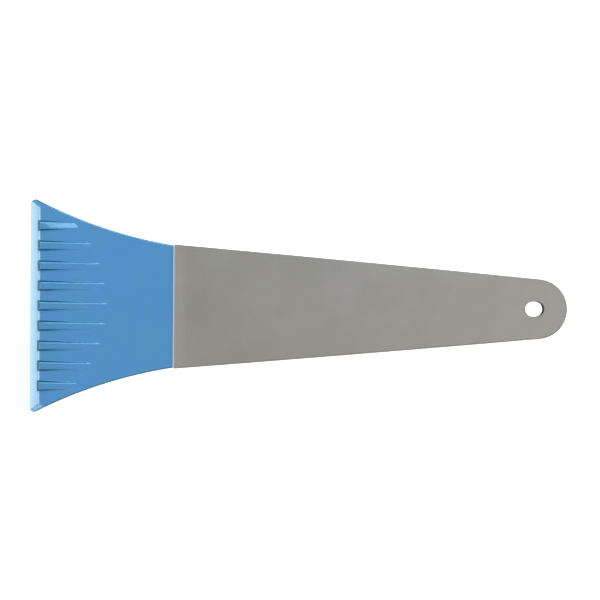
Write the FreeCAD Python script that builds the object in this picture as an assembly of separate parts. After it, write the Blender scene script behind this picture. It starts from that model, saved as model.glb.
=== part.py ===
"""Windshield ice scraper: a moulded blade head whose tang is screwed between two handle shells.

Millimetres. While it is built, X = 0 is the blade's edge and X grows towards the hanging hole, Y = 0 is the
centre line, and Z = 0 is the plane of the handle's back face, on which the scraper lies with its ribbed face
up. Each node is then moved so that the origin is on that plane, under the middle of the scraper's length.
"""
import FreeCAD, Part
import math
import os
from FreeCAD import Vector

# Whole scraper
LENGTH = 252.0
HANDLE_DEPTH = 12.0
MID_Z = HANDLE_DEPTH / 2

# Blade head
HANDLE_START = 67.4
FLARE_START_HALF = 51.5
NECK_HALF = 28.8
FLARE_BOW = 2.9
PLATE = 4.0
PLATE_BOTTOM = MID_Z - PLATE / 2
PLATE_TOP = MID_Z + PLATE / 2
CORNER_RADIUS = 2.3
TOP_EDGE_RADIUS = 1.0
BOTTOM_EDGE_RADIUS = 0.4
LIP_WIDTH = 4.75
LIP_EDGE = 0.9
FACET_TIP = Vector(1.3, 48.7, 0)
FACET_INNER = Vector(LIP_WIDTH, 46.1, 0)
FACET_REAR = Vector(7.8, 46.9, 0)

# Ice-breaking ribs, whose rear ends lie on one arc
RIB_COUNT = 9
RIB_PITCH = 9.4
RIB_WIDTH = 3.85
RIB_TAPER = 0.78
RIB_HEIGHT = 2.0
RIB_FRONT = 4.4
RIB_ROOT = 1.0
RIB_ROUND = 0.5
RIB_SIDE_DRAFT = 20.0
RIB_FRONT_DRAFT = 15.0
RIB_ARC_RADIUS = 55.6
RIB_ARC_CENTRE = -18.7
RIB_SINK = 0.3

# Tang, inside the handle
TANG_LENGTH = 50.0
TANG_FRONT_HALF = 26.0
TANG_REAR_HALF = 21.0
TANG_CORNER = 5.0
TANG_HOLE = 8.0
TANG_GAP = 0.1

# Handle shells
HANDLE_FRONT_HALF = 29.2
SIDE_BOW = 0.2
TAIL_RADIUS = 14.1
FRONT_CORNER = 1.0
WALL = 2.0
WALL_BITE = 0.5
FACE_EDGE_RADIUS = 0.8
EASE_LENGTH = 6.0
EASE_DROP = 0.25
SEAM_GROOVE = 0.25
LIP_HEIGHT = 1.0
LIP_THICKNESS = 0.9
LIP_GAP = 0.1

# Oval hanging hole, moulded as a tube through both shells
HANG_X = LENGTH - 15.3
HANG_LENGTH = 8.8
HANG_WIDTH = 7.1
TUBE_WALL = 2.0
TUBE_GAP = 0.1
HOLE_EDGE_RADIUS = 0.4

# Stiffening ribs inside the shells: places along X, and thickness
PAD_PLACES = (76.0, 100.0, 112.0)
WEB_PLACES = (132.0, 150.0, 179.0, 197.0)
WEB_THICKNESS = 1.4
WEB_GAP = 0.4
SPINE_START = 121.0
SPINE_END = LENGTH - 23.5

# Screws: self-tapping, pan head, 2.9 mm by 6.5 mm
TANG_SCREW_X = 88.0
TANG_SCREW_Y = 15.0
SPINE_SCREW_PLACES = (165.0, 212.0)
SCREW_THREAD = 2.9
SCREW_POINT = 0.8
SCREW_LENGTH = 6.5
SCREW_TIP = 1.4
SCREW_HEAD = 5.6
SCREW_HEAD_DEPTH = 2.2
SCREW_HEAD_EDGE = 0.7
DRIVE_WIDTH = 0.8
DRIVE_SPAN = 3.2
DRIVE_DEPTH = 1.3
SCREW_CLEARANCE = 3.2
POCKET = 6.4
POCKET_DEPTH = 2.7
BACK_BOSS = 8.4
FRONT_BOSS = 7.6
BOSS_GAP = 0.1
PILOT_TOP = 9.8

# Helpers: a length past everything, how far a cutter runs past a face, and a match between coordinates
BIG = 400.0
CLEAR = 1.0
CLOSE = 1e-4

SCREW_PLACES = [(TANG_SCREW_X, -TANG_SCREW_Y), (TANG_SCREW_X, TANG_SCREW_Y)]
SCREW_PLACES += [(x, 0.0) for x in SPINE_SCREW_PLACES]


def prism(points, height, z=0.0):
    """A straight-sided solid on a closed outline of points in plan."""
    corners = [Vector(x, y, z) for x, y in points]
    face = Part.Face(Part.makePolygon(corners + corners[:1]))
    return face.extrude(Vector(0, 0, height))


def cylinder(x, y, diameter, bottom, top):
    """An upright cylinder."""
    return Part.makeCylinder(diameter / 2, top - bottom, Vector(x, y, bottom))


def block(x_range, y_range, z_range):
    """A box between two values on each axis."""
    size = [high - low for low, high in (x_range, y_range, z_range)]
    return Part.makeBox(*size, Vector(x_range[0], y_range[0], z_range[0]))


def hang_oval(margin, bottom, top):
    """An upright round-ended bar: the hanging hole's shape, grown by a margin all round."""
    offset = (HANG_LENGTH - HANG_WIDTH) / 2
    width = HANG_WIDTH + 2 * margin
    middle = block((HANG_X - offset, HANG_X + offset), (-width / 2, width / 2), (bottom, top))
    ends = [cylinder(HANG_X + shift, 0, width, bottom, top) for shift in (-offset, offset)]
    return middle.fuse(ends).removeSplitter()


def bowed(start, end, bow):
    """An arc from start to end whose middle stands off the chord by bow, to the left of its direction."""
    chord = end - start
    side = Vector(-chord.y, chord.x, 0).normalize()
    return Part.Arc(start, (start + end) / 2 + side * bow, end).toShape()


def edges_at(shape, z):
    """Edges of a shape that lie wholly in a level plane."""
    return [e for e in shape.Edges if abs(e.BoundBox.ZMin - z) < CLOSE and abs(e.BoundBox.ZMax - z) < CLOSE]


def upright_edges(shape, x):
    """Vertical edges of a shape at one place along X."""
    here = [e for e in shape.Edges if abs(e.BoundBox.XMin - x) < CLOSE and abs(e.BoundBox.XMax - x) < CLOSE]
    return [e for e in here if e.BoundBox.ZLength > e.BoundBox.YLength]


def bounds_hang_hole(edge):
    """Whether an edge lies within the tube's wall round the hanging hole."""
    box = edge.BoundBox
    near_x = max(abs(box.XMin - HANG_X), abs(box.XMax - HANG_X)) < (HANG_LENGTH + TUBE_WALL) / 2
    return near_x and max(-box.YMin, box.YMax) < (HANG_WIDTH + TUBE_WALL) / 2


# ---------------------------------------------------------------- scraper head

def blade_plate():
    """The flared plate of the head, with rounded corners and softened sides."""
    front_left = Vector(0, FLARE_START_HALF, PLATE_BOTTOM)
    front_right = Vector(0, -FLARE_START_HALF, PLATE_BOTTOM)
    neck_left = Vector(HANDLE_START, NECK_HALF, PLATE_BOTTOM)
    neck_right = Vector(HANDLE_START, -NECK_HALF, PLATE_BOTTOM)
    outline = Part.Wire([
        bowed(neck_left, front_left, FLARE_BOW),
        Part.makeLine(front_left, front_right),
        bowed(front_right, neck_right, FLARE_BOW),
        Part.makeLine(neck_right, neck_left),
    ])
    plate = Part.Face(outline).extrude(Vector(0, 0, PLATE))
    plate = plate.makeFillet(CORNER_RADIUS, upright_edges(plate, 0))
    top = [e for e in edges_at(plate, PLATE_TOP) if e.BoundBox.XMin < HANDLE_START - CLEAR]
    plate = plate.makeFillet(TOP_EDGE_RADIUS, top)
    bottom = [e for e in edges_at(plate, PLATE_BOTTOM) if e.BoundBox.XMin < HANDLE_START - CLEAR]
    return plate.makeFillet(BOTTOM_EDGE_RADIUS, bottom)


def lip_height(x):
    """Height of the bevelled lip above the plate's underside."""
    return LIP_EDGE + (PLATE - LIP_EDGE) * x / LIP_WIDTH


def lip_cutter():
    """What is taken off the top of the plate to leave the bevelled lip."""
    corners = [
        Vector(0, -BIG, PLATE_BOTTOM + lip_height(0)),
        Vector(LIP_WIDTH, -BIG, PLATE_TOP),
        Vector(LIP_WIDTH, -BIG, PLATE_TOP + PLATE),
        Vector(-PLATE, -BIG, PLATE_TOP + PLATE),
        Vector(-PLATE, -BIG, PLATE_BOTTOM + lip_height(-PLATE)),
        Vector(0, -BIG, PLATE_BOTTOM + lip_height(0)),
    ]
    return Part.Face(Part.makePolygon(corners)).extrude(Vector(0, 2 * BIG, 0))


def facet_cutter(side):
    """What is taken off one front corner to leave an oblique facet between the lip, the face and the side."""
    tip = Vector(FACET_TIP.x, side * FACET_TIP.y, PLATE_BOTTOM + lip_height(FACET_TIP.x))
    inner = Vector(FACET_INNER.x, side * FACET_INNER.y, PLATE_TOP)
    rear = Vector(FACET_REAR.x, side * FACET_REAR.y, PLATE_TOP)
    up = (inner - tip).cross(rear - tip).normalize()
    if up.z < 0:
        up = up * -1
    middle = (tip + inner + rear) / 3
    spread = 3.0
    corners = [middle + (corner - middle) * spread for corner in (tip, inner, rear)]
    return Part.Face(Part.makePolygon(corners + corners[:1])).extrude(up * PLATE)


def rib_profile():
    """Half of a rib's section, from the crest's middle outwards and down: offsets across and up."""
    flat = RIB_WIDTH / 2 - RIB_ROUND
    foot_drop = RIB_HEIGHT + RIB_ROOT
    foot = RIB_WIDTH / 2 + (foot_drop - RIB_ROUND) * math.tan(math.radians(RIB_SIDE_DRAFT))
    return (flat, 0.0), (RIB_WIDTH / 2, 0.0), (RIB_WIDTH / 2, -RIB_ROUND), (foot, -foot_drop)


def rib_section(place):
    """A rib's closed section: place turns an offset across and up into a point."""
    crest, knee, shoulder, foot = rib_profile()
    pieces = []
    for side in (1, -1):
        bend = Part.BezierCurve()
        bend.setPoles([place(side * across, up) for across, up in (crest, knee, shoulder)])
        wall = Part.makeLine(place(side * shoulder[0], shoulder[1]), place(side * foot[0], foot[1]))
        pieces.append((bend.toShape(), wall))
    top = Part.makeLine(place(-crest[0], 0), place(crest[0], 0))
    base = Part.makeLine(place(foot[0], foot[1]), place(-foot[0], foot[1]))
    (right_bend, right_wall), (left_bend, left_wall) = pieces
    return Part.Wire(Part.__sortEdges__([top, right_bend, right_wall, base, left_wall, left_bend]))


def rib(y):
    """One rib: full size at the lip, narrowing and sloping down until it meets the face on the ribs' arc."""
    reach = math.sqrt(RIB_ARC_RADIUS ** 2 - y ** 2)
    slant = -y / reach
    run = RIB_ARC_CENTRE + reach - RIB_FRONT
    past_end = 1 + RIB_SINK / RIB_HEIGHT
    lean = math.tan(math.radians(RIB_FRONT_DRAFT))

    def at_front(across, up):
        return Vector(RIB_FRONT + up * lean, y + across, PLATE_TOP + RIB_HEIGHT + up)

    def at_end(across, up):
        x = RIB_FRONT + (run + slant * across * RIB_TAPER) * past_end
        return Vector(x, y + across * RIB_TAPER, PLATE_TOP - RIB_SINK + up)

    return Part.makeLoft([rib_section(at_front), rib_section(at_end)], True, True)


def tang():
    """The tongue that the handle shells clamp, with a hole for each front boss."""
    rear = HANDLE_START + TANG_LENGTH
    overlap = 2.0
    outline = [
        (HANDLE_START - overlap, -TANG_FRONT_HALF),
        (HANDLE_START, -TANG_FRONT_HALF),
        (rear, -TANG_REAR_HALF),
        (rear, TANG_REAR_HALF),
        (HANDLE_START, TANG_FRONT_HALF),
        (HANDLE_START - overlap, TANG_FRONT_HALF),
    ]
    tongue = prism(outline, PLATE, PLATE_BOTTOM)
    tongue = tongue.makeFillet(TANG_CORNER, upright_edges(tongue, rear))
    for side in (-1, 1):
        hole = cylinder(TANG_SCREW_X, side * TANG_SCREW_Y, TANG_HOLE, 0, HANDLE_DEPTH)
        tongue = tongue.cut(hole)
    return tongue


def scraper_head():
    """Blade, ribs and tang in one moulding."""
    plate = blade_plate().cut(lip_cutter())
    for side in (-1, 1):
        plate = plate.cut(facet_cutter(side))
    middle = (RIB_COUNT - 1) / 2
    ribs = [rib((number - middle) * RIB_PITCH) for number in range(RIB_COUNT)]
    return plate.fuse(ribs + [tang()]).removeSplitter()


# ---------------------------------------------------------------- handle shells

def handle_outline():
    """The handle in plan: a blunt front, slightly bowed tapering sides and a round tail."""
    tail_x = LENGTH - TAIL_RADIUS
    run = tail_x - HANDLE_START
    taper = math.atan2(HANDLE_FRONT_HALF, run) - math.asin(TAIL_RADIUS / math.hypot(run, HANDLE_FRONT_HALF))
    tail_start = Vector(tail_x + TAIL_RADIUS * math.sin(taper), TAIL_RADIUS * math.cos(taper), 0)
    tail_end = Vector(tail_start.x, -tail_start.y, 0)
    front_left = Vector(HANDLE_START, HANDLE_FRONT_HALF, 0)
    front_right = Vector(HANDLE_START, -HANDLE_FRONT_HALF, 0)
    return Part.Wire([
        Part.makeLine(front_left, front_right),
        bowed(front_right, tail_end, -SIDE_BOW),
        Part.Arc(tail_end, Vector(LENGTH, 0, 0), tail_start).toShape(),
        bowed(tail_start, front_left, -SIDE_BOW),
    ])


def handle_slice(inset, bottom, top):
    """A level slice of the handle between two heights, its sides set in and its front corners rounded."""
    face = Part.Face(handle_outline())
    if inset:
        face = face.makeOffset2D(-inset)
    slab = face.extrude(Vector(0, 0, top - bottom))
    slab = slab.makeFillet(FRONT_CORNER, upright_edges(slab, HANDLE_START + inset))
    slab.translate(Vector(0, 0, bottom))
    return slab


def handle_ring(outer_inset, inner_inset, bottom, top):
    """A band that follows the handle's sides all round."""
    return handle_slice(outer_inset, bottom, top).cut(handle_slice(inner_inset, bottom, top))


def side_view():
    """The handle seen from the side, extruded: flat faces that ease down at the blunt front."""
    start = HANDLE_START
    eased = start + EASE_LENGTH
    end = LENGTH + WALL
    bow = Vector(0, 0, EASE_DROP / 4)
    low = Vector(start, -BIG, EASE_DROP)
    low_flat = Vector(eased, -BIG, 0)
    low_end = Vector(end, -BIG, 0)
    high = Vector(start, -BIG, HANDLE_DEPTH - EASE_DROP)
    high_flat = Vector(eased, -BIG, HANDLE_DEPTH)
    high_end = Vector(end, -BIG, HANDLE_DEPTH)
    outline = Part.Wire([
        Part.makeLine(low, high),
        Part.Arc(high, (high + high_flat) / 2 + bow, high_flat).toShape(),
        Part.makeLine(high_flat, high_end),
        Part.makeLine(high_end, low_end),
        Part.makeLine(low_end, low_flat),
        Part.Arc(low_flat, (low_flat + low) / 2 - bow, low).toShape(),
    ])
    return Part.Face(outline).extrude(Vector(0, 2 * BIG, 0))


def handle_body():
    """The outside of both shells as one solid."""
    body = handle_slice(0, 0, HANDLE_DEPTH).common(side_view())
    level = [e for e in body.Edges if e.BoundBox.ZLength < 2 * EASE_DROP]
    ease_line = HANDLE_START + EASE_LENGTH
    rim = [e for e in level if abs(e.BoundBox.XMin - ease_line) + abs(e.BoundBox.XMax - ease_line) > CLOSE]
    return body.makeFillet(FACE_EDGE_RADIUS, rim)


def crosswise(x, thickness, bottom, top):
    """A wall from side to side of the handle's hollow."""
    slab = block((x - thickness / 2, x + thickness / 2), (-BIG, BIG), (bottom, top))
    return slab.common(handle_slice(WALL - WALL_BITE, bottom, top))


def stiffeners(floor, pad_end, web_end):
    """Pads that press on the tang, then webs and a spine, from a shell's floor to where each ends."""
    pad_span = sorted((floor, pad_end))
    web_span = sorted((floor, web_end))
    walls = [crosswise(x, WEB_THICKNESS, *pad_span) for x in PAD_PLACES]
    walls += [crosswise(x, WEB_THICKNESS, *web_span) for x in WEB_PLACES]
    spine_side = (-WEB_THICKNESS / 2, WEB_THICKNESS / 2)
    walls.append(block((SPINE_START, SPINE_END), spine_side, web_span))
    return walls


def half_shell(bottom, top):
    """The part of the hollow handle between two heights, with its share of the groove along the seam."""
    half = handle_body().common(block((0, BIG), (-BIG, BIG), (bottom, top)))
    half = half.cut(handle_slice(WALL, WALL, HANDLE_DEPTH - WALL))
    return half.cut(handle_ring(0, SEAM_GROOVE, MID_Z - SEAM_GROOVE, MID_Z + SEAM_GROOVE))


def tang_mouth():
    """The opening in the handle's blunt front that the tang goes through."""
    half = TANG_FRONT_HALF + TANG_GAP
    x_range = (HANDLE_START - CLEAR, HANDLE_START + WALL + CLEAR)
    return block(x_range, (-half, half), (PLATE_BOTTOM - TANG_GAP, PLATE_TOP + TANG_GAP))


def front_shell():
    """The upper shell, with the screws' bosses, the hanging tube and a rebate for the other shell's lip."""
    shell = half_shell(MID_Z, HANDLE_DEPTH)
    ceiling = HANDLE_DEPTH - WALL
    boss_end = PLATE_BOTTOM + BOSS_GAP
    added = stiffeners(ceiling + WALL_BITE, PLATE_TOP, MID_Z + WEB_GAP)
    added += [cylinder(x, y, FRONT_BOSS, boss_end, ceiling + WALL_BITE) for x, y in SCREW_PLACES]
    added.append(hang_oval(TUBE_WALL, 0, ceiling + WALL_BITE))
    shell = shell.fuse(added)
    rebate_top = MID_Z + LIP_HEIGHT + LIP_GAP
    shell = shell.cut(handle_ring(WALL - LIP_THICKNESS - LIP_GAP, WALL, MID_Z, rebate_top))
    for x, y in SCREW_PLACES:
        shell = shell.cut(cylinder(x, y, SCREW_THREAD, 0, PILOT_TOP))
    shell = shell.cut(hang_oval(0, -CLEAR, HANDLE_DEPTH + CLEAR))
    shell = shell.cut(tang_mouth()).removeSplitter()
    mouths = [e for e in edges_at(shell, HANDLE_DEPTH) + edges_at(shell, 0) if bounds_hang_hole(e)]
    return shell.makeFillet(HOLE_EDGE_RADIUS, mouths)


def back_shell():
    """The lower shell, with the screw heads' pockets, the hole for the hanging tube and the seam's lip."""
    shell = half_shell(0, MID_Z)
    lip = handle_ring(WALL - LIP_THICKNESS, WALL, MID_Z - LIP_HEIGHT, MID_Z + LIP_HEIGHT)
    added = stiffeners(WALL - WALL_BITE, PLATE_BOTTOM, PLATE_BOTTOM)
    added += [cylinder(x, y, BACK_BOSS, WALL - WALL_BITE, PLATE_BOTTOM) for x, y in SCREW_PLACES]
    shell = shell.fuse(added + [lip])
    for x, y in SCREW_PLACES:
        shell = shell.cut(cylinder(x, y, POCKET, -CLEAR, POCKET_DEPTH))
        shell = shell.cut(cylinder(x, y, SCREW_CLEARANCE, 0, PLATE_BOTTOM + CLEAR))
    shell = shell.cut(hang_oval(TUBE_WALL + TUBE_GAP, -CLEAR, MID_Z))
    return shell.cut(tang_mouth()).removeSplitter()


# ---------------------------------------------------------------- screws

def screw(x, y):
    """One pan-head self-tapping screw, head down in its pocket, with a cross recess."""
    top = POCKET_DEPTH + SCREW_LENGTH
    head_bottom = POCKET_DEPTH - SCREW_HEAD_DEPTH
    head = cylinder(x, y, SCREW_HEAD, head_bottom, POCKET_DEPTH)
    head = head.makeFillet(SCREW_HEAD_EDGE, edges_at(head, head_bottom))
    shank = cylinder(x, y, SCREW_THREAD, POCKET_DEPTH, top - SCREW_TIP)
    tip = Part.makeCone(SCREW_THREAD / 2, SCREW_POINT / 2, SCREW_TIP, Vector(x, y, top - SCREW_TIP))
    recess = (head_bottom, head_bottom + DRIVE_DEPTH)
    long_x = (x - DRIVE_SPAN / 2, x + DRIVE_SPAN / 2)
    long_y = (y - DRIVE_SPAN / 2, y + DRIVE_SPAN / 2)
    thin_x = (x - DRIVE_WIDTH / 2, x + DRIVE_WIDTH / 2)
    thin_y = (y - DRIVE_WIDTH / 2, y + DRIVE_WIDTH / 2)
    cross = block(long_x, thin_y, recess).fuse(block(thin_x, long_y, recess))
    return head.fuse([shank, tip]).cut(cross).removeSplitter()


def shell_screws():
    """The handle's screws: two through the tang, two behind it on the centre line."""
    return Part.makeCompound([screw(x, y) for x, y in SCREW_PLACES])


NODES = {
    "scraper_head": scraper_head,
    "front_shell": front_shell,
    "back_shell": back_shell,
    "shell_screws": shell_screws,
}

os.makedirs("parts", exist_ok=True)
for name, make in NODES.items():
    node = make()
    node.translate(Vector(-LENGTH / 2, 0, 0))
    node.exportStep("parts/" + name + ".step")
    box = node.BoundBox
    spans = [(round(low, 2), round(high, 2)) for low, high in
             ((box.XMin, box.XMax), (box.YMin, box.YMax), (box.ZMin, box.ZMax))]
    print(name, len(node.Solids), "solid(s), valid:", node.isValid(), round(node.Volume), "mm3", spans)
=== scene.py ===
"""Windshield ice scraper on a pale studio table, seen from straight above.

The handle shells and their screws are the CAD parts with moulded-plastic and zinc materials. The blade head
is a finer mesh that replaces its CAD part: the same plate, lip, corner facets, ribs and tang, with the small
radii that a moulding has. The head's own lengths are millimetres, measured from the blade's edge (u), the
centre line (y) and the plate's underside (height). The handle, the lights and the camera are in metres.
"""
import math

import bmesh
import bpy
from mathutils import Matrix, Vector
from mathutils.geometry import delaunay_2d_cdt


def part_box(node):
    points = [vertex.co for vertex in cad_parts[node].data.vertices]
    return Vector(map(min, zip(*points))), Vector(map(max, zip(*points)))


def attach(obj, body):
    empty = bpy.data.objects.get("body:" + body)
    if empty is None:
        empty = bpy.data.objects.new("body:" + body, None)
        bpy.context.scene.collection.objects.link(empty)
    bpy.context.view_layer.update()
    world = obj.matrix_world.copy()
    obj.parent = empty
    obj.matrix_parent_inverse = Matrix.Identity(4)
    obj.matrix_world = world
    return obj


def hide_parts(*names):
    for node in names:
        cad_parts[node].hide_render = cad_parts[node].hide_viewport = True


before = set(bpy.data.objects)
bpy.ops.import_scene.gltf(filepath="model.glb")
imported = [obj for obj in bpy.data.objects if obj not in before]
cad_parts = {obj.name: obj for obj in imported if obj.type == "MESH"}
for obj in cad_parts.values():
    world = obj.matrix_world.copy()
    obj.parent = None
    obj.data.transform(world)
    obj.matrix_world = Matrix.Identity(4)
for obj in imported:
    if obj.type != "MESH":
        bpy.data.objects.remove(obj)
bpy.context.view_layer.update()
scene = bpy.context.scene
scene.view_settings.view_transform = "Standard"

MM = 0.001
HEAD_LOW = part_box("scraper_head")[0]

# Plate of the head: its outline, its edges, the bevelled lip and the corner facets
PLATE = 4.0
NECK_U = 67.4
FRONT_HALF = 51.5
NECK_HALF = 28.8
FLARE_BOW = 2.9
CORNER_RADIUS = 2.3
EDGE_SHARE = 0.17
BOTTOM_RADIUS = 0.3
LIP_WIDTH = 4.75
LIP_EDGE = 0.9
SOFTNESS = 0.1
FACET_TIP = Vector((1.3, 48.7))
FACET_INNER = Vector((LIP_WIDTH, 46.1))
FACET_REAR = Vector((7.8, 46.9))

# Ribs: RIB_FRONT is where a crest's slope starts, and the crest's flat begins FLAT_SETBACK behind it
RIB_COUNT = 9
RIB_PITCH = 9.4
RIB_HEIGHT = 2.0
RIB_FRONT = 4.4
FLAT_SETBACK = 0.68
RIB_FLAT_HALF = 1.2
RIB_NARROWING = 0.35
RIB_ROUND = 0.75
RIB_FILLET = 0.3
RIB_DRAFT = math.radians(20)
FRONT_STRETCH = 0.85
CORNER_POWER = 4
RIB_ARC_RADIUS = 55.6
RIB_ARC_CENTRE = -18.7

# Tang
TANG_LENGTH = 50.0
TANG_FRONT_HALF = 26.0
TANG_REAR_HALF = 21.0
TANG_CORNER = 5.0
TANG_EDGE = 0.2
TANG_HOLE_RADIUS = 4.0
TANG_HOLE_U = 88.0
TANG_HOLE_Y = 15.0
HOLE_CENTRES = [Vector((TANG_HOLE_U, side * TANG_HOLE_Y)) for side in (-1, 1)]


# ---------------------------------------------------------------- shape of the head

def flare_circle():
    """Centre and radius of the circle that the head's left side follows."""
    neck = Vector((NECK_U, NECK_HALF))
    front = Vector((0, FRONT_HALF))
    chord = front - neck
    inward = Vector((-chord.y, chord.x)).normalized()
    radius = (chord.length ** 2 / 4 + FLARE_BOW ** 2) / (2 * FLARE_BOW)
    return (neck + front) / 2 - inward * (radius - FLARE_BOW), radius


FLARE_CENTRE, FLARE_RADIUS = flare_circle()
CORNER_DROP = math.sqrt((FLARE_RADIUS + CORNER_RADIUS) ** 2 - (CORNER_RADIUS - FLARE_CENTRE.x) ** 2)
CORNER_Y = FLARE_CENTRE.y - CORNER_DROP
CORNER_CENTRE = Vector((CORNER_RADIUS, CORNER_Y))


def flare_half(u):
    """Half the plate's width at a distance from the blade's edge, its front corners left square."""
    return FLARE_CENTRE.y - math.sqrt(FLARE_RADIUS ** 2 - (u - FLARE_CENTRE.x) ** 2)


def soft_min(a, b, softness=SOFTNESS):
    """The lower of two heights, blended where they nearly agree."""
    overlap = max(softness - abs(a - b), 0) / softness
    return min(a, b) - overlap ** 2 * softness / 4


def lip_height(u):
    """Thickness of the bevelled lip."""
    return LIP_EDGE + (PLATE - LIP_EDGE) * u / LIP_WIDTH


def facet_plane():
    """A point on a corner facet, and how fast it rises along u and y."""
    tip = Vector((*FACET_TIP, lip_height(FACET_TIP.x)))
    inner = Vector((*FACET_INNER, PLATE))
    rear = Vector((*FACET_REAR, PLATE))
    normal = (inner - tip).cross(rear - tip)
    return inner, -normal.x / normal.z, -normal.y / normal.z


FACET_POINT, FACET_SLOPE_U, FACET_SLOPE_Y = facet_plane()


def plate_height(u, y):
    """Thickness of the plate without its ribs."""
    facet = PLATE + (u - FACET_POINT.x) * FACET_SLOPE_U + (abs(y) - FACET_POINT.y) * FACET_SLOPE_Y
    return soft_min(soft_min(lip_height(u), PLATE), facet)


# A rib's flank, by distance out from the crest's flat: a round knee, a drafted wall and a fillet at the foot
KNEE_REACH = RIB_ROUND * math.cos(RIB_DRAFT)
KNEE_DROP = RIB_ROUND * (1 - math.sin(RIB_DRAFT))
WALL_SPREAD = math.tan(RIB_DRAFT)
FILLET_TURN = math.tan(math.pi / 4 - RIB_DRAFT / 2)
RIB_FLAT_FRONT = RIB_FRONT + FLAT_SETBACK
TIP_HALF = RIB_FLAT_HALF - RIB_NARROWING


def foot_reach(rise):
    """How far from the crest's flat the flank meets the plate, where the rib stands rise above it."""
    if rise <= 0:
        return 0.0
    if rise < KNEE_DROP:
        return math.sqrt(RIB_ROUND ** 2 - (RIB_ROUND - rise) ** 2)
    return KNEE_REACH + (rise - KNEE_DROP) * WALL_SPREAD


def fillet_radius(rise):
    """Radius at the rib's foot, which fades out with the wall."""
    return RIB_FILLET * min(max((rise - KNEE_DROP) / RIB_FILLET, 0), 1)


def flank_height(reach, rise):
    """Height above the plate at a distance from the crest's flat."""
    radius = fillet_radius(rise)
    tangent = radius * FILLET_TURN
    past_foot = reach - foot_reach(rise)
    if past_foot >= tangent:
        return 0.0
    if past_foot > -tangent * math.sin(RIB_DRAFT):
        return radius - math.sqrt(max(radius ** 2 - (tangent - past_foot) ** 2, 0))
    if reach < KNEE_REACH:
        return rise - RIB_ROUND + math.sqrt(RIB_ROUND ** 2 - reach ** 2)
    return rise - KNEE_DROP - (reach - KNEE_REACH) / WALL_SPREAD


class Rib:
    """One rib: full height at the lip, sloping down until it meets the plate on the ribs' arc."""

    def __init__(self, number):
        self.y = (number - (RIB_COUNT - 1) / 2) * RIB_PITCH
        reach = math.sqrt(RIB_ARC_RADIUS ** 2 - self.y ** 2)
        self.slant = -self.y / reach
        self.run = RIB_ARC_CENTRE + reach - RIB_FRONT

    def flat_half(self, u):
        """Half the width of the crest's flat, which narrows towards the rear."""
        return RIB_FLAT_HALF - RIB_NARROWING * max(u - RIB_FRONT, 0) / self.run

    def rise(self, u, y):
        """Height of the crest's slope above the plate."""
        length = self.run + self.slant * (y - self.y)
        return PLATE + RIB_HEIGHT * (1 - (u - RIB_FRONT) / length) - plate_height(u, y)

    def height(self, u, y):
        """Height of the rib above the plate."""
        across = max(abs(y - self.y) - self.flat_half(u), 0)
        along = max(RIB_FLAT_FRONT - u, 0) / FRONT_STRETCH
        rise = self.rise(u, y)
        if rise <= 0:
            return 0.0
        reach = (across ** CORNER_POWER + along ** CORNER_POWER) ** (1 / CORNER_POWER)
        return flank_height(reach, rise)

    def tip(self, across):
        """Where the crest's slope runs out, at an offset from the rib's middle."""
        return RIB_FRONT + self.run + self.slant * across


RIBS = [Rib(number) for number in range(RIB_COUNT)]


def nearest_rib(y):
    """The rib closest to a place across the blade."""
    return min(RIBS, key=lambda rib: abs(rib.y - y))


def head_height(u, y):
    """Height of the head's top above its underside."""
    return plate_height(u, y) + nearest_rib(y).height(u, y)


# ---------------------------------------------------------------- plan of the head's mesh

def spaced(start, end, step):
    """Evenly spaced values from start to end, both included, about a step apart."""
    count = max(round(abs(end - start) / step), 1)
    return [start + (end - start) * i / count for i in range(count + 1)]


def spread(start, end, count):
    """A number of evenly spaced values from start to end, both included."""
    return [start + (end - start) * i / (count - 1) for i in range(count)]


# Steps along the outline, in length or in angle, and the number of rings that each rounded edge has
FRONT_STEP = 2.0
SIDE_STEP = 1.2
CORNER_TURN = 0.12
TANG_TURN = 0.2
EDGE_RINGS = 6
BOTTOM_RINGS = 4
HOLE_POINTS = 48

# Lines down a rib's flank: over the knee and the fillet, and one each at the wall's middle, at its end and
# on the plate, an APRON past the fillet. A line is left out where its part of the flank is too small.
KNEE_LINES = 6
FILLET_LINES = 4
LINE_COUNT = KNEE_LINES + FILLET_LINES + 3
APRON = 0.25
LEAST_GAP = 0.01
LEAST_RISE = 0.02
LEAST_FILLET = 0.05
FRONT_POINTS = 8
CORRECTIONS = 4

# Lines across a rib's end: before, on and after the crease, the last a little wider
TIP_SHIFTS = (-0.5, 0, 0.5)
TIP_WIDENING = 0.3
TIP_POINTS = 4

# Lines along the crease between the lip and the face
LIP_BAND = 0.3
LIP_LINES = 5
LIP_STATIONS = spread(LIP_WIDTH - LIP_BAND, LIP_WIDTH + LIP_BAND, LIP_LINES)
LIP_END = 44.0
LIP_STEP = 1.0
CREASE_CLEAR = 2.4

# Loose points, close together on the corner facets and wider apart on the rest, clear of the lines above.
# SIDE_LEAN allows for the slant of the plate's sides, and points within MERGE_DISTANCE become one.
FACET_START = 44.4
FACET_END = 9.0
FACET_FRONT = 0.5
FACET_STEP = 0.3
FACET_MARGIN = 0.15
FACET_CLEAR = 0.5
FACE_FRONT = 0.8
FACE_STEP = 2.2
FACE_MARGIN = 0.8
NECK_CLEAR = 1.0
LIP_CLEAR = 0.8
RIB_CLEAR = 3.4
RIB_FOOT_FRONT = 3.0
TIP_CLEAR = 1.0
SIDE_LEAN = 1.1
MERGE_DISTANCE = 0.004


def edge_radius(u):
    """Radius of the plate's upper edge, smaller where the lip is thin."""
    return EDGE_SHARE * min(lip_height(u), PLATE)


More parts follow.
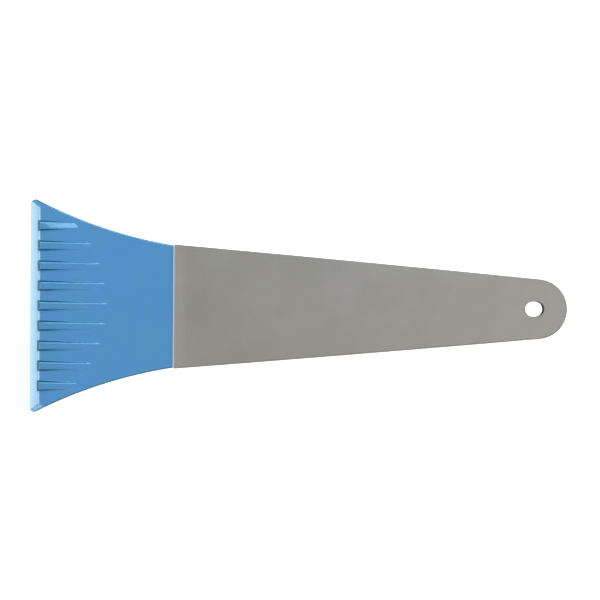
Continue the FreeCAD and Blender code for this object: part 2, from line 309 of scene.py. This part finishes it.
def side_stations():
    """The outline's left half as pairs: a point on the flat top, and its neighbour on the outline."""
    pairs = []

    def add(point, outward):
        """A pair, from its point on the outline and the direction out of the plate there."""
        pairs.append((point - outward * edge_radius(point.x), point))

    for y in spaced(0, CORNER_Y, FRONT_STEP)[:-1]:
        add(Vector((0, y)), Vector((-1, 0)))
    to_flare = FLARE_CENTRE - CORNER_CENTRE
    last = math.atan2(to_flare.y, to_flare.x)
    for angle in spaced(math.pi, last, CORNER_TURN):
        outward = Vector((math.cos(angle), math.sin(angle)))
        add(CORNER_CENTRE + outward * CORNER_RADIUS, outward)
    start = pairs[-1][1].x
    for u in spaced(start, NECK_U, SIDE_STEP)[1:-1]:
        point = Vector((u, flare_half(u)))
        add(point, (FLARE_CENTRE - point).normalized())
    neck_inner = NECK_HALF - edge_radius(NECK_U)
    pairs.append((Vector((NECK_U - TANG_EDGE, neck_inner)), Vector((NECK_U, NECK_HALF))))
    return pairs + tang_stations()


def tang_stations():
    """The left half of the tang's outline, in the same pairs."""
    rear = NECK_U + TANG_LENGTH
    points = [Vector((NECK_U, TANG_FRONT_HALF))]
    centre = Vector((rear - TANG_CORNER, TANG_REAR_HALF - TANG_CORNER))
    lean = math.atan2(TANG_FRONT_HALF - TANG_REAR_HALF, TANG_LENGTH)
    for angle in spaced(math.pi / 2 - lean, 0, TANG_TURN):
        points.append(centre + Vector((math.cos(angle), math.sin(angle))) * TANG_CORNER)
    points.append(Vector((rear, 0)))
    inward = [Vector((-TANG_EDGE, -TANG_EDGE))]
    inward += [(centre - point).normalized() * TANG_EDGE for point in points[1:-1]]
    inward.append(Vector((-TANG_EDGE, 0)))
    return [(point + shift, point) for point, shift in zip(points, inward)]


def outline_pairs():
    """The whole outline, its right half mirrored from the left."""
    left = side_stations()
    right = [(Vector((a.x, -a.y)), Vector((b.x, -b.y))) for a, b in reversed(left[1:-1])]
    return left + right


def flank_line(index, rise):
    """Distance from the crest's flat of one line down the flank, or None where the rib is too low for it."""
    foot = foot_reach(rise)
    radius = fillet_radius(rise)
    tangent = radius * FILLET_TURN
    wall_end = foot - tangent * math.sin(RIB_DRAFT)
    if index < KNEE_LINES:
        reach = RIB_ROUND * math.sin((math.pi / 2 - RIB_DRAFT) * index / (KNEE_LINES - 1))
        return reach if reach < foot - LEAST_GAP else None
    if index == KNEE_LINES:
        return foot + tangent + APRON if rise > LEAST_RISE else None
    if radius < LEAST_FILLET:
        return foot if index == KNEE_LINES + 1 and rise > LEAST_RISE else None
    if index == KNEE_LINES + 1:
        return (KNEE_REACH + wall_end) / 2
    step = index - KNEE_LINES - 2
    return spread(wall_end, foot + tangent, FILLET_LINES + 1)[step]


def rib_line(rib, index):
    """Points in plan along one line of a rib's flank: down one side, round the front and up the other."""

    def point(side, angle, u):
        """The line's place across a side (angle 0) or round a front corner, by a few corrections."""
        half = rib.flat_half(u)
        place = Vector((u, rib.y + side * half))
        for _ in range(CORRECTIONS):
            reach = flank_line(index, rib.rise(place.x, place.y))
            if reach is None:
                return None
            across = half + reach * abs(math.cos(angle)) ** (2 / CORNER_POWER)
            along = reach * math.sin(angle) ** (2 / CORNER_POWER) * FRONT_STRETCH
            place = Vector((u - along, rib.y + side * across))
        return place

    halves = []
    for side in (1, -1):
        along = [u for u in LIP_STATIONS if u > RIB_FLAT_FRONT]
        along += spaced(LIP_STATIONS[-1], rib.tip(side * TIP_HALF), SIDE_STEP)[1:]
        places = [point(side, 0, u) for u in reversed(along)]
        places += [point(side, angle, RIB_FLAT_FRONT) for angle in spread(0, math.pi / 2, FRONT_POINTS)]
        halves.append([place for place in places if place is not None])
    return halves[0] + halves[1][::-1]


def tip_lines(rib):
    """Lines in plan across the end of a rib, where it runs out into the plate."""
    lines = []
    for shift in TIP_SHIFTS:
        half = TIP_HALF + (TIP_WIDENING if shift > 0 else 0)
        offsets = spread(-half, half, TIP_POINTS)
        lines.append([Vector((rib.tip(across) + shift, rib.y + across)) for across in offsets])
    return lines


def lip_lines():
    """Lines along the crease between the lip and the face, in the gaps between the ribs."""
    rib_sides = [rib.y + side * CREASE_CLEAR for rib in RIBS for side in (-1, 1)]
    stops = [-LIP_END] + rib_sides + [LIP_END]
    lines = []
    for u in LIP_STATIONS:
        for low, high in zip(stops[::2], stops[1::2]):
            lines.append([Vector((u, y)) for y in spaced(low, high, LIP_STEP)])
    return lines


def well_inside(u, y, margin):
    """Whether a point is on the plate's flat top, and clear of its rounded edge by a margin."""
    gap = edge_radius(u) + margin
    if u < gap or u > NECK_U or abs(y) > flare_half(u) - gap * SIDE_LEAN:
        return False
    past = Vector((u, abs(y))) - CORNER_CENTRE
    return not (past.x < 0 and past.y > 0 and past.length > CORNER_RADIUS - gap)


def open_face(u, y):
    """Whether a point is clear of the facets, the lip's crease and the ribs."""
    facet = u < FACET_END + FACET_CLEAR and abs(y) > FACET_START - FACET_CLEAR
    near_lip = abs(u - LIP_WIDTH) < LIP_CLEAR
    rib = nearest_rib(y)
    on_rib = abs(rib.y - y) < RIB_CLEAR and RIB_FOOT_FRONT < u < rib.tip(0) + TIP_CLEAR
    return not (facet or near_lip or on_rib)


def loose_points():
    """Points that fill the open face, the lip and, more closely, the corner facets."""
    points = []
    for u in spaced(FACET_FRONT, FACET_END, FACET_STEP):
        for y in spaced(FACET_START, FRONT_HALF, FACET_STEP):
            if well_inside(u, y, FACET_MARGIN):
                points += [Vector((u, side * y)) for side in (1, -1)]
    for u in spaced(FACE_FRONT, NECK_U - NECK_CLEAR, FACE_STEP):
        for y in spaced(-FRONT_HALF, FRONT_HALF, FACE_STEP):
            if open_face(u, y) and well_inside(u, y, FACE_MARGIN):
                points.append(Vector((u, y)))
    return points


def hole_rings():
    """The outlines of the tang's two holes."""
    angles = [2 * math.pi * i / HOLE_POINTS for i in range(HOLE_POINTS)]
    spokes = [Vector((math.cos(angle), math.sin(angle))) for angle in angles]
    return [[centre + spoke * TANG_HOLE_RADIUS for spoke in spokes] for centre in HOLE_CENTRES]


def top_mesh(rim, rings):
    """The head's top in plan: its points, its triangles, and where each rim and ring point went."""
    points = list(rim)
    edges = []
    for line in rings:
        first = len(points)
        points += line
        edges += [(first + i, first + (i + 1) % len(line)) for i in range(len(line))]
    lines = lip_lines() + [rib_line(rib, index) for rib in RIBS for index in range(LINE_COUNT)]
    lines += [line for rib in RIBS for line in tip_lines(rib)]
    for line in lines:
        first = len(points)
        points += line
        edges += [(first + i, first + i + 1) for i in range(len(line) - 1)]
    points += loose_points()
    outline = list(range(len(rim)))[::-1]
    plan, _, triangles, sources, _, _ = delaunay_2d_cdt(points, edges, [outline], 1, MERGE_DISTANCE)
    place_of = {source: index for index, group in enumerate(sources) for source in group}

    def in_hole(triangle):
        """Whether a triangle lies in one of the tang's holes."""
        middle = sum((plan[i] for i in triangle), Vector((0, 0))) / 3
        return any((middle - centre).length < TANG_HOLE_RADIUS for centre in HOLE_CENTRES)

    kept = [triangle for triangle in triangles if not in_hole(triangle)]
    named = [place_of[i] for i in range(len(rim) + sum(len(ring) for ring in rings))]
    return plan, kept, named


# ---------------------------------------------------------------- mesh of the head

def in_metres(point, height):
    """A point of the head, from millimetres in plan and height to Blender's metres."""
    return Vector((HEAD_LOW[0] + point.x * MM, point.y * MM, HEAD_LOW[2] + height * MM))


def bridge(mesh, upper, lower):
    """A closed band of faces between two rings of points."""
    count = len(upper)
    for i in range(count):
        after = (i + 1) % count
        mesh.faces.new((upper[i], upper[after], lower[after], lower[i]))


def upper_edge(mesh, band, pairs):
    """The rounded edge from the top's rim out to the outline, where its last ring is returned."""
    for angle in spread(0, math.pi / 2, EDGE_RINGS + 1)[1:]:
        lower = []
        for inner, outer in pairs:
            radius = (outer - inner).length
            height = plate_height(*inner) - radius * (1 - math.cos(angle))
            lower.append(mesh.verts.new(in_metres(inner.lerp(outer, math.sin(angle)), height)))
        bridge(mesh, band, lower)
        band = lower
    return band


def lower_edge(mesh, band, pairs):
    """The side and the small radius below it, whose last ring is returned."""
    for angle in spread(0, math.pi / 2, BOTTOM_RINGS):
        lower = []
        for inner, outer in pairs:
            inset = (inner - outer).normalized() * BOTTOM_RADIUS * (1 - math.cos(angle))
            height = BOTTOM_RADIUS * (1 - math.sin(angle))
            lower.append(mesh.verts.new(in_metres(outer + inset, height)))
        bridge(mesh, band, lower)
        band = lower
    return band


def ring_edges(mesh, ring):
    """The edges round a ring of points."""
    return [mesh.edges.get((ring[i - 1], ring[i])) for i in range(len(ring))]


def build_head():
    """The head as one closed mesh: top, rounded edge, side, underside and the tang's holes."""
    pairs = outline_pairs()
    rings = hole_rings()
    plan, triangles, named = top_mesh([inner for inner, _ in pairs], rings)
    mesh = bmesh.new()
    top = [mesh.verts.new(in_metres(point, head_height(point.x, point.y))) for point in plan]
    for triangle in triangles:
        mesh.faces.new([top[i] for i in triangle])
    rim = [top[i] for i in named[:len(pairs)]]
    bottom = lower_edge(mesh, upper_edge(mesh, rim, pairs), pairs)
    bottom_edges = ring_edges(mesh, bottom)
    first = len(pairs)
    for ring in rings:
        upper = [top[i] for i in named[first:first + len(ring)]]
        lower = [mesh.verts.new(in_metres(point, 0)) for point in ring]
        bridge(mesh, upper, lower)
        bottom_edges += ring_edges(mesh, lower)
        first += len(ring)
    bmesh.ops.triangle_fill(mesh, use_beauty=True, edges=bottom_edges)
    bmesh.ops.recalc_face_normals(mesh, faces=mesh.faces)
    data = bpy.data.meshes.new("blade_head")
    mesh.to_mesh(data)
    mesh.free()
    return data


SHARP_ANGLE = math.radians(40)


def add_head(material):
    """The head's object: smooth, creased only at real corners."""
    data = build_head()
    data.materials.append(material)
    data.shade_smooth()
    data.set_sharp_from_angle(angle=SHARP_ANGLE)
    piece = bpy.data.objects.new("blade_head", data)
    scene.collection.objects.link(piece)
    weighted = piece.modifiers.new("weighted_normals", "WEIGHTED_NORMAL")
    weighted.keep_sharp = True
    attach(piece, "root")
    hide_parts("scraper_head")


# ---------------------------------------------------------------- material nodes

# Places of a mix node's colour sockets among its inputs and outputs
MIX_A, MIX_B, MIX_RESULT = 6, 7, 2

# The middle of a noise's range, which is stretched to give its patches soft or firmer edges
SOFT = (0.3, 0.7)
FIRM = (0.35, 0.65)


class Material:
    """A Principled material and short ways to add the procedural nodes that feed it."""

    def __init__(self, name):
        self.data = bpy.data.materials.new(name)
        self.data.use_nodes = True
        self.tree = self.data.node_tree
        self.shader = self.tree.nodes["Principled BSDF"]
        self.place = self.tree.nodes.new("ShaderNodeTexCoord").outputs["Object"]

    def set(self, **values):
        """Constant values on the shader's own sockets."""
        for name, value in values.items():
            self.shader.inputs[name.replace("_", " ")].default_value = value

    def link(self, output, name):
        """Feed one of the shader's sockets."""
        self.tree.links.new(output, self.shader.inputs[name])

    def stretched(self, scale, turn=0.0):
        """Object coordinates scaled along each axis and turned about Z."""
        node = self.tree.nodes.new("ShaderNodeMapping")
        node.inputs["Scale"].default_value = scale
        node.inputs["Rotation"].default_value = (0, 0, turn)
        self.tree.links.new(self.place, node.inputs["Vector"])
        return node.outputs["Vector"]

    def noise(self, scale, detail=2.0, roughness=0.5, vector=None):
        """Noise, its scale in repeats per metre."""
        node = self.tree.nodes.new("ShaderNodeTexNoise")
        node.inputs["Scale"].default_value = scale
        node.inputs["Detail"].default_value = detail
        node.inputs["Roughness"].default_value = roughness
        self.tree.links.new(vector or self.place, node.inputs["Vector"])
        return node.outputs["Fac"]

    def cells(self, scale):
        """Distance to the nearest cell centre, its scale in repeats per metre."""
        node = self.tree.nodes.new("ShaderNodeTexVoronoi")
        node.inputs["Scale"].default_value = scale
        self.tree.links.new(self.place, node.inputs["Vector"])
        return node.outputs["Distance"]

    def ramp(self, value, source, target):
        """A value moved from a source range to a target range, and held at its ends."""
        node = self.tree.nodes.new("ShaderNodeMapRange")
        for name, number in zip(("From Min", "From Max", "To Min", "To Max"), (*source, *target)):
            node.inputs[name].default_value = number
        self.tree.links.new(value, node.inputs["Value"])
        return node.outputs["Result"]

    def combine(self, operation, a, b=0):
        """Arithmetic on two values, either of which may be a plain number."""
        node = self.tree.nodes.new("ShaderNodeMath")
        node.operation = operation
        for socket, value in zip(node.inputs, (a, b)):
            if isinstance(value, (int, float)):
                socket.default_value = value
            else:
                self.tree.links.new(value, socket)
        return node.outputs["Value"]

    def plus(self, a, b):
        """The sum of two values."""
        return self.combine("ADD", a, b)

    def minus(self, a, b):
        """The first value less the second."""
        return self.combine("SUBTRACT", a, b)

    def times(self, a, b):
        """The product of two values."""
        return self.combine("MULTIPLY", a, b)

    def magnitude(self, value):
        """A value without its sign."""
        return self.combine("ABSOLUTE", value)

    def distance(self, a, b):
        """Length of the line whose two components are given."""
        return self.combine("SQRT", self.plus(self.combine("POWER", a, 2), self.combine("POWER", b, 2)))

    def blend(self, factor, a, b):
        """A colour between two, each a colour or another node's output."""
        node = self.tree.nodes.new("ShaderNodeMix")
        node.data_type = "RGBA"
        self.tree.links.new(factor, node.inputs["Factor"])
        for socket, colour in ((node.inputs[MIX_A], a), (node.inputs[MIX_B], b)):
            if isinstance(colour, tuple):
                socket.default_value = (*colour, 1)
            else:
                self.tree.links.new(colour, socket)
        return node.outputs[MIX_RESULT]

    def component(self, vector, name):
        """One component of a vector."""
        node = self.tree.nodes.new("ShaderNodeSeparateXYZ")
        self.tree.links.new(vector, node.inputs["Vector"])
        return node.outputs[name]

    def axis(self, name):
        """One of the object's coordinates, in metres."""
        return self.component(self.place, name)

    def normal(self, name):
        """One component of the surface's direction."""
        return self.component(self.tree.nodes.new("ShaderNodeNewGeometry").outputs["Normal"], name)

    def bump(self, height, distance, strength):
        """Fine relief, its depth in metres."""
        node = self.tree.nodes.new("ShaderNodeBump")
        node.inputs["Distance"].default_value = distance
        node.inputs["Strength"].default_value = strength
        self.tree.links.new(height, node.inputs["Height"])
        self.link(node.outputs["Normal"], "Normal")


# ---------------------------------------------------------------- the head's plastic

FACE_BLUE = (0.083, 0.272, 0.567)
FACE_TEAL = (0.083, 0.284, 0.519)
LIT_BLUE = (0.150, 0.400, 0.740)
STEEP_SHADE_BLUE = (0.008, 0.095, 0.180)
RIM_SHADE_BLUE = (0.085, 0.180, 0.235)
CREST_SHADE_TEAL = (0.045, 0.250, 0.430)
LIP_LIGHT_CYAN = (0.41, 0.70, 0.80)

# Where the plastic's painted light and shade change, from start to end, by distance from the blade's edge
LIP_STOP = (4.7, 4.8)
CREASE_U = 4.55
NECK_PAINTED_LIGHT = (65.5, NECK_U)
FAR_FLANK_FADE = (8, 20)
STEEP_FADE = (12, 30)

# by height above the plate
CREST_RISE = (0.4, 1.8)
KNEE_RISE = (0.2, 0.6)

# by distance from the crease, past the facet's inner edge, across the rim and from the centre line
CREASE_FADE = (0.12, 0.25)
FACET_FADE = 0.2
RIM_WIDTH = 0.95
RIM_FADE = 0.4
RIM_SIDES = (-10, 10)

# and by the surface's direction: how level it is, and how far it faces the blade's edge or -Y
STEEP_TO_LEVEL = (0.5, 0.8)
FACING_EDGE = (-0.5, -0.15)
FACING_SIDE = (-0.6, -0.3)

# Smears and scratches run along the scraper. Only the peaks of their noise count as scratches.
SMEAR_SHAPE = (0.35, 1, 1)
SCRATCH_SHAPE = (0.04, 1, 1)
SCRATCH_TURN = math.radians(4)
SCRATCH_PEAKS = (0.62, 0.75)

# How far a corner facet's inner edge moves to the centre line for each millimetre from the blade's edge
FACET_SLANT = (FACET_TIP.y - FACET_INNER.y) / (FACET_INNER.x - FACET_TIP.x)


def in_x(places):
    """Distances from the blade's edge as places along X."""
    return [HEAD_LOW[0] + place * MM for place in places]


def in_z(rises):
    """Heights above the plate as places along Z."""
    return [HEAD_LOW[2] + (PLATE + rise) * MM for rise in rises]


def scaled(lengths):
    """Millimetres in metres."""
    return [length * MM for length in lengths]


def off_facet(material, x, from_middle):
    """How much of the lip's painted light shows: all of it beside the corner facets, and little on them."""
    past_diagonal = material.plus(from_middle, material.times(x, FACET_SLANT))
    diagonal = (FACET_INNER.y + FACET_INNER.x * FACET_SLANT) * MM + HEAD_LOW[0] * FACET_SLANT
    return material.ramp(past_diagonal, (diagonal, diagonal + FACET_FADE * MM), (1, 0.15))


def painted_far_flank_light(material, x):
    """Painted light on the rear part of the flanks that face -Y, standing in for light reaching through the
    thin end of the rib.
    """
    rear = material.ramp(x, in_x(FAR_FLANK_FADE), (0, 0.9))
    return material.times(rear, material.ramp(material.normal("Y"), FACING_SIDE, (1, 0)))


def steep_shade_parts(material, x, z, lit):
    """Painted shade on steep flanks, fading to the rear and where the flank's painted light is, and on the
    knee at each rib's front.
    """
    steep = material.ramp(material.magnitude(material.normal("Z")), STEEP_TO_LEVEL, (1, 0))
    steep = material.times(steep, material.ramp(x, in_x(STEEP_FADE), (1, 0.35)))
    steep = material.times(steep, material.minus(1, lit))
    raised = material.ramp(z, in_z(KNEE_RISE), (0, 1))
    front_knee = material.times(raised, material.ramp(material.normal("X"), FACING_EDGE, (1, 0)))
    return material.combine("MAXIMUM", steep, front_knee)


def painted_rim_shade(material, x, y, from_middle):
    """Painted shade in the narrow band along the flared sides, stronger on the -Y side."""
    across = material.minus(from_middle, FLARE_CENTRE.y * MM)
    along = material.minus(x, HEAD_LOW[0] + FLARE_CENTRE.x * MM)
    rim_end = FLARE_RADIUS + RIM_WIDTH
    rim = material.ramp(material.distance(along, across), scaled((rim_end - RIM_FADE, rim_end)), (1, 0))
    return material.times(rim, material.ramp(y, scaled(RIM_SIDES), (0.85, 0.45)))


def head_plastic():
    """Glossy cloudy blue, with painted light on the thin lip, its crease, near the handle and on the rear of
    the -Y flanks, and painted shade on the crests, the steep flanks and the rim.
    """
    material = Material("head_plastic")
    x, y, z = (material.axis(name) for name in "XYZ")
    from_middle = material.magnitude(y)
    cloud = material.ramp(material.noise(scale=70, detail=3), FIRM, (0, 1))
    body = material.blend(cloud, FACE_BLUE, FACE_TEAL)
    # Painted shade: the raised crests are tinted darker and greener, standing in for their reflection
    body = material.blend(material.ramp(z, in_z(CREST_RISE), (0, 0.35)), body, CREST_SHADE_TEAL)

    beside_facet = off_facet(material, x, from_middle)
    # Painted light on the lip, standing in for its reflection and the light coming through its thin edge
    thin = material.ramp(x, in_x((0, LIP_WIDTH)), (0.71, 0.09))
    lip_only = material.times(material.ramp(x, in_x(LIP_STOP), (1, 0)), beside_facet)
    body = material.blend(material.times(thin, lip_only), body, LIP_LIGHT_CYAN)
    # Painted highlight along the crease between the lip and the face
    from_crease = material.magnitude(material.minus(x, HEAD_LOW[0] + CREASE_U * MM))
    crease = material.ramp(from_crease, scaled(CREASE_FADE), (0.5, 0))
    body = material.blend(material.times(crease, beside_facet), body, LIP_LIGHT_CYAN)

    # Painted light on the rear of the flanks that face -Y
    lit = painted_far_flank_light(material, x)
    # Painted shade on the steep flanks and the knee at each rib's front
    steep = steep_shade_parts(material, x, z, lit)
    # Painted light on the plate just in front of the handle, cancelling the shadow of the handle's front wall
    body = material.blend(material.ramp(x, in_x(NECK_PAINTED_LIGHT), (0, 0.8)), body, LIT_BLUE)
    body = material.blend(lit, body, LIT_BLUE)
    body = material.blend(steep, body, STEEP_SHADE_BLUE)
    # Painted shade along the rounded flared sides
    material.link(material.blend(painted_rim_shade(material, x, y, from_middle), body, RIM_SHADE_BLUE), "Base Color")

    smear = material.noise(scale=160, detail=4, roughness=0.6, vector=material.stretched(SMEAR_SHAPE))
    scratch = material.noise(scale=900, vector=material.stretched(SCRATCH_SHAPE, SCRATCH_TURN))
    scratched = material.ramp(scratch, SCRATCH_PEAKS, (0, 0.12))
    roughness = material.plus(material.ramp(smear, SOFT, (0.05, 0.09)), scratched)
    material.link(material.plus(roughness, material.times(steep, 0.5)), "Roughness")
    relief = material.plus(material.noise(scale=260), material.times(scratch, 0.3))
    material.bump(relief, distance=0.00004, strength=0.25)
    material.set(IOR=1.58)
    return material.data


# ---------------------------------------------------------------- the handle's plastic and the screws

GREY = (0.308, 0.269, 0.240)
GREY_DARK = (0.238, 0.205, 0.176)
GREY_EDGE_HIGHLIGHT = (0.50, 0.59, 0.71)
BORE_SHADE_GREY = (0.015, 0.015, 0.014)
ZINC = (0.62, 0.62, 0.60)
ZINC_DULL = (0.50, 0.50, 0.49)

HANDLE_LOW, HANDLE_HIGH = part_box("front_shell")
HANDLE_FRONT = HANDLE_LOW[0]
HANDLE_MIDDLE = HANDLE_HIGH[2] / 2

# Hanging hole: an oval of two half circles, each an offset away from its middle
HANG_X = 0.1107
HANG_OFFSET = 0.00085
HANG_RADIUS = 0.00355

# Where the handle's painted light and shade change: along X, behind its front, away from its middle height,
# out from the hanging hole's wall and, for the bore's painted shade, away from the centre line
LIGHT_FALLOFF_X = (-0.040, 0.045)
TAIL_X = (0.080, 0.115)
FRONT_FADE = (0.0040, 0.0065)
EDGE_HIGHLIGHT_FADE = (0.0004, 0.0008)
EDGE_HIGHLIGHT_HEIGHT = (0.0047, 0.0050)
BORE_SKIN = (0.00003, 0.00010)
BORE_ENDS = (0.0018, 0.0030)


def shifted(start, lengths):
    """Lengths from a start, as places."""
    return [start + length for length in lengths]


def handle_plastic():
    """Satin warm grey with a fine grain and random mottle, with painted light along its length, a painted
    highlight along its front edge and painted shade in the hanging hole.
    """
    material = Material("handle_plastic")
    x, y, z = (material.axis(name) for name in "XYZ")
    mottle = material.ramp(material.noise(scale=55, detail=3), FIRM, (-0.15, 0.15))
    speck = material.ramp(material.noise(scale=2600, detail=1), SOFT, (-0.06, 0.06))
    # Painted light: darker near the head, lighter towards the tail and just behind the front edge; the mottle
    # and specks are the grey's own tone
    painted_light_falloff = material.ramp(x, LIGHT_FALLOFF_X, (0.8, 0.2))
    front = material.ramp(x, shifted(HANDLE_FRONT, FRONT_FADE), (-0.35, 0))
    tail = material.ramp(x, TAIL_X, (0, -0.2))
    tone = material.plus(material.plus(painted_light_falloff, front), material.plus(mottle, speck))
    body = material.blend(material.plus(tone, tail), GREY, GREY_DARK)

    # Painted highlight along the rounding of the front edge, on both faces
    near_front = material.ramp(x, shifted(HANDLE_FRONT, EDGE_HIGHLIGHT_FADE), (1, 0))
    near_face = material.ramp(material.magnitude(material.minus(z, HANDLE_MIDDLE)), EDGE_HIGHLIGHT_HEIGHT, (0, 1))
    body = material.blend(material.times(near_front, near_face), body, GREY_EDGE_HIGHLIGHT)

    from_hole = material.magnitude(material.minus(x, HANG_X))
    past_offset = material.combine("MAXIMUM", material.minus(from_hole, HANG_OFFSET), 0)
    from_oval = material.distance(past_offset, y)
    in_bore = material.ramp(from_oval, shifted(HANG_RADIUS, BORE_SKIN), (1, 0))
    # Painted shade on the hanging hole's wall, strongest near the centre line
    bore_shade = material.times(in_bore, material.ramp(material.magnitude(y), BORE_ENDS, (1, 0.2)))
    material.link(material.blend(bore_shade, body, BORE_SHADE_GREY), "Base Color")

    worn = material.ramp(material.noise(scale=180, detail=4, roughness=0.6), SOFT, (0.36, 0.46))
    material.link(material.plus(worn, material.times(in_bore, 0.6)), "Roughness")
    grain = material.plus(material.cells(scale=2400), material.noise(scale=4200))
    material.bump(grain, distance=0.00003, strength=0.5)
    return material.data


def zinc_steel():
    """Bright zinc plate with a fine turned grain and a duller bloom."""
    material = Material("screw_steel")
    bloom = material.ramp(material.noise(scale=900, detail=3), FIRM, (0, 1))
    material.link(material.blend(bloom, ZINC, ZINC_DULL), "Base Color")
    sheen = material.ramp(material.noise(scale=3000, detail=3), SOFT, (0.22, 0.38))
    material.link(sheen, "Roughness")
    material.bump(material.noise(scale=6000), distance=0.00002, strength=0.4)
    material.set(Metallic=1.0)
    return material.data


add_head(head_plastic())
shell_material = handle_plastic()
finishes = {"front_shell": shell_material, "back_shell": shell_material, "shell_screws": zinc_steel()}
for node_name, finish in finishes.items():
    node_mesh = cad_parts[node_name].data
    node_mesh.materials.clear()
    node_mesh.materials.append(finish)


# ---------------------------------------------------------------- lights

SKY = (0.42, 0.76, 1.0)
SUN = (1.0, 0.93, 0.81)
COOL_WHITE = (0.94, 1.0, 0.97)
KEY_HEIGHT = 1.25
KEY_SIZE = (0.60, 0.60)
WORLD_STRENGTH = 0.30


def soft_box(name, place, aim, size, radiance, colour):
    """A rectangular light whose power gives it a set brightness whatever its size."""
    data = bpy.data.lights.new(name, "AREA")
    data.color = colour
    data.shape = "RECTANGLE"
    data.size, data.size_y = size
    data.energy = radiance * math.pi * size[0] * size[1]
    light = bpy.data.objects.new(name, data)
    scene.collection.objects.link(light)
    light.location = place
    light.rotation_euler = (Vector(aim) - Vector(place)).to_track_quat("-Z", "Y").to_euler()


def off_blade(x, y, z):
    """A place measured from the middle of the blade's edge, on the table."""
    return Vector((HEAD_LOW[0], 0, 0)) + Vector((x, y, z))


# Two warm keys, each above a place beyond one end of the scraper
for key_name, key_x, key_y, key_radiance in (("left_key", -0.62, 0.0, 4.2), ("right_key", 0.52, 0.05, 4.5)):
    soft_box(key_name, (key_x, key_y, KEY_HEIGHT), (key_x, key_y, 0), KEY_SIZE, key_radiance, SUN)

# Lights that are there for one reflection each: the strip in the ribs' +Y knees, the patch in the crest of
# the rib furthest to +Y, the left box in the lip and the bottom box in the -Y corner facet
soft_box("strip", off_blade(0.14, 0.612, 1.04), off_blade(0.025, 0, 0), (0.316, 0.96), 6.6, SKY)
soft_box("patch", off_blade(0.198, 0.109, 1.05), off_blade(0.013, 0.038, 0), (0.114, 0.062), 5.4, SKY)
soft_box("left_box", off_blade(-0.91, -0.02, 0.40), off_blade(0, 0, 0), (0.36, 0.20), 4.8, COOL_WHITE)
soft_box("bottom_box", off_blade(-0.33, -0.92, 0.39), off_blade(0, 0, 0), (0.20, 0.20), 6, SKY)

world = bpy.data.worlds.new("studio")
world.use_nodes = True
world.node_tree.nodes["Background"].inputs["Color"].default_value = (1, 1, 1, 1)
world.node_tree.nodes["Background"].inputs["Strength"].default_value = WORLD_STRENGTH
scene.world = world


# ---------------------------------------------------------------- table

FLOOR_HALF = 2.0
FLOOR_HEIGHT = -0.0002
FLOOR_WHITE = (0.85, 0.85, 0.85, 1)
FLOOR_GLOW = 0.95


def add_floor():
    """A table whose glow keeps it an even white."""
    mesh = bpy.data.meshes.new("floor")
    signs = ((-1, -1), (1, -1), (1, 1), (-1, 1))
    corners = [(x * FLOOR_HALF, y * FLOOR_HALF, FLOOR_HEIGHT) for x, y in signs]
    mesh.from_pydata(corners, [], [(0, 1, 2, 3)])
    floor = bpy.data.objects.new("floor", mesh)
    scene.collection.objects.link(floor)
    paint = Material("floor")
    paint.set(Base_Color=FLOOR_WHITE, Roughness=0.8)
    paint.set(Emission_Color=(1, 1, 1, 1), Emission_Strength=FLOOR_GLOW)
    mesh.materials.append(paint.data)


add_floor()


# ---------------------------------------------------------------- camera

# Straight above, taking in VIEW_WIDTH at VIEW_HEIGHT above the table
CAMERA_PLACE = (0.0009, 0.0035, 1.5)
CAMERA_TURN = math.radians(0.41)
SENSOR_WIDTH = 36
VIEW_WIDTH = 0.28116
VIEW_HEIGHT = 0.010

camera_data = bpy.data.cameras.new("camera")
camera = bpy.data.objects.new("camera", camera_data)
scene.collection.objects.link(camera)
camera.location = CAMERA_PLACE
camera.rotation_euler = (0, 0, CAMERA_TURN)
camera_data.sensor_width = SENSOR_WIDTH
camera_data.lens = SENSOR_WIDTH * (CAMERA_PLACE[2] - VIEW_HEIGHT) / VIEW_WIDTH
scene.camera = camera
